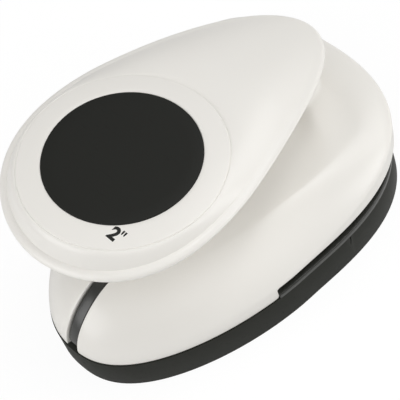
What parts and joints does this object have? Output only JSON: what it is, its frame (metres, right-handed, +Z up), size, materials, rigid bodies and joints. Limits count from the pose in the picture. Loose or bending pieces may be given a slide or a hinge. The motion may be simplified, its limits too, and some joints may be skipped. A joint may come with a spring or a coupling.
{
  "type": "circle punch",
  "caption": "Craft lever punch that cuts a round paper disc, with a white lever and housing on a black base.",
  "frame": {"origin": "centre of the bounding box on the flat underside that the punch stands on", "axes": "+Y along the punch to its paper mouth, +Z up, +X to the right when looking along +Y"},
  "size_m": [0.0986, 0.1404, 0.0818],
  "materials": {
    "base_black": "fine matte grain",
    "latch_black": "satin",
    "disc_black": "matte",
    "shell_white": "satin, moulded",
    "arm_white": "moulded",
    "cutting_steel": "ground",
    "frame_steel": "rolled",
    "pin_steel": "turned",
    "spring_steel": "drawn wire",
    "screw_steel": "zinc plated"
  },
  "bodies": {
    "base": {"base_tray": "base_black", "paper_deck": "base_black", "die_plate": "cutting_steel", "die_screw_1": "screw_steel", "die_screw_2": "screw_steel", "die_screw_3": "screw_steel", "die_screw_4": "screw_steel", "guide_frame": "frame_steel", "frame_screw_1": "screw_steel", "frame_screw_2": "screw_steel", "frame_screw_3": "screw_steel", "frame_screw_4": "screw_steel", "top_housing": "shell_white", "housing_screw_1": "screw_steel", "housing_screw_2": "screw_steel", "housing_screw_3": "screw_steel", "housing_screw_4": "screw_steel", "hinge_pin": "pin_steel", "pin_clip_left": "pin_steel", "pin_clip_right": "pin_steel", "return_spring_left": "spring_steel", "return_spring_right": "spring_steel", "latch_pin": "pin_steel"},
    "punch_group": {"punch": "cutting_steel", "lift_bridge": "frame_steel", "drive_fork": "pin_steel", "fork_screw_1": "screw_steel", "fork_screw_2": "screw_steel", "drive_pin": "pin_steel"},
    "lever": {"lever_shell": "shell_white", "lever_arm": "arm_white", "arm_screw_1": "screw_steel", "arm_screw_2": "screw_steel", "arm_screw_3": "screw_steel", "arm_screw_4": "screw_steel", "size_plate": "shell_white", "size_disc": "disc_black"},
    "latch": {"storage_latch": "latch_black"}
  },
  "joints": [
    {"name": "lever_press", "type": "hinge", "parent": "base", "child": "lever", "pos_m": [0, 0.0471, 0.0248], "axis": [1, 0, 0], "range_deg": [0, 12], "stiffness_Nm_per_rad": 2.5, "springref_deg": -2.86},
    {"name": "punch_stroke", "type": "slide", "parent": "base", "child": "punch_group", "axis": [0, 0, -1], "range_m": [0, 0.00615], "deforming": ["return_spring_left", "return_spring_right"]},
    {"name": "latch_swing", "type": "hinge", "parent": "base", "child": "latch", "pos_m": [0, -0.0622, 0.0183], "axis": [1, 0, 0], "range_deg": [0, 86]}
  ],
  "couplings": [
    {"joint": "punch_stroke", "follows": "lever_press", "m_per_rad": 0.02925}
  ]
}
